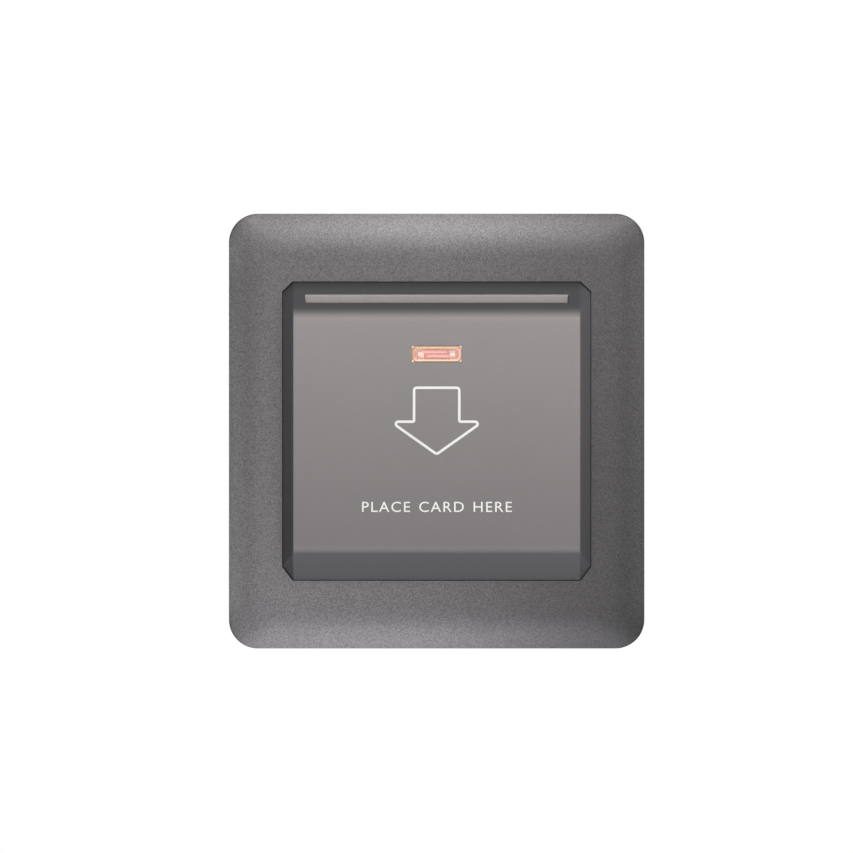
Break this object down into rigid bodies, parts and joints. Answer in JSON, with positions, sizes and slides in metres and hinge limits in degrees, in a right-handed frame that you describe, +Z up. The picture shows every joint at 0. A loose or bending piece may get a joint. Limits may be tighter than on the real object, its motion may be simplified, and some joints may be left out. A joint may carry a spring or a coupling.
{
  "type": "key card switch",
  "caption": "Square wall switch with a raised pocket for a hotel key card, an indicator lens, and a card lever that works a switch behind",
  "frame": {"origin": "midway between the two wall-box screws, on the wall's face", "axes": "+X to the right as seen from the room, +Y into the wall, +Z up; the card slot is at the top"},
  "size_m": [0.086, 0.043, 0.09],
  "materials": {
    "plate_paint": "gunmetal grey spray paint with fine metal flake on plastic",
    "pocket_paint": "satin warm grey spray paint on plastic",
    "lens_plastic": "clear salmon tint, lit from behind",
    "white_plastic": "moulded, satin",
    "black_plastic": "moulded, fine spark texture",
    "red_plastic": "moulded, smooth",
    "clear_plastic": "smoke clear, smooth",
    "lamp_glass": "drawn tube",
    "bright_metal": "bright silver plate",
    "steel": "bright zinc plate",
    "brass": "rolled, lightly dull",
    "resistor_coat": "dipped lacquer",
    "red_insulation": "extruded insulation",
    "blue_insulation": "extruded insulation"
  },
  "bodies": {
    "switch_body": {"bezel_frame": "plate_paint", "pocket_cover": "pocket_paint", "indicator_lens": "lens_plastic", "lamp_holder": "white_plastic", "lamp_tube": "lamp_glass", "lamp_caps": "bright_metal", "lamp_electrodes": "bright_metal", "card_guide": "black_plastic", "lever_pin": "steel", "lever_spring": "steel", "mounting_yoke": "steel", "rear_housing": "black_plastic", "switch_case": "black_plastic", "switch_lid": "black_plastic", "blade_spring": "steel", "line_terminal": "brass", "load_terminal": "brass", "fixed_contact": "bright_metal", "neutral_terminal": "brass", "terminal_pillars": "brass", "terminal_screws": "steel", "terminal_shield": "clear_plastic", "housing_screws": "steel", "lamp_resistor": "resistor_coat", "lamp_lead_supply": "red_insulation", "lamp_lead_neutral": "blue_insulation", "resistor_tail": "red_insulation"},
    "card_lever": {"card_lever": "white_plastic"},
    "plunger": {"switch_plunger": "red_plastic"},
    "blade": {"contact_blade": "brass", "moving_contact": "bright_metal"}
  },
  "joints": [
    {"name": "card_lever_swing", "type": "hinge", "parent": "switch_body", "child": "card_lever", "pos_m": [0, -0.0062, 0.005], "axis": [1, 0, 0], "range_deg": [0, 8.29], "stiffness_Nm_per_rad": 0.02, "springref_deg": -20.05, "deforming": ["lever_spring"]},
    {"name": "plunger_slide", "type": "slide", "parent": "switch_body", "child": "plunger", "axis": [0, 1, 0], "range_m": [0, 0.0011]},
    {"name": "blade_swing", "type": "hinge", "parent": "switch_body", "child": "blade", "pos_m": [-0.006, 0.008, -0.003], "axis": [0, 0, 1], "range_deg": [0, 10.45], "deforming": ["blade_spring"]}
  ],
  "couplings": [
    {"joint": "plunger_slide", "follows": "card_lever_swing", "m_per_rad": 0.0076},
    {"joint": "blade_swing", "follows": "card_lever_swing", "ratio": 1.259}
  ]
}
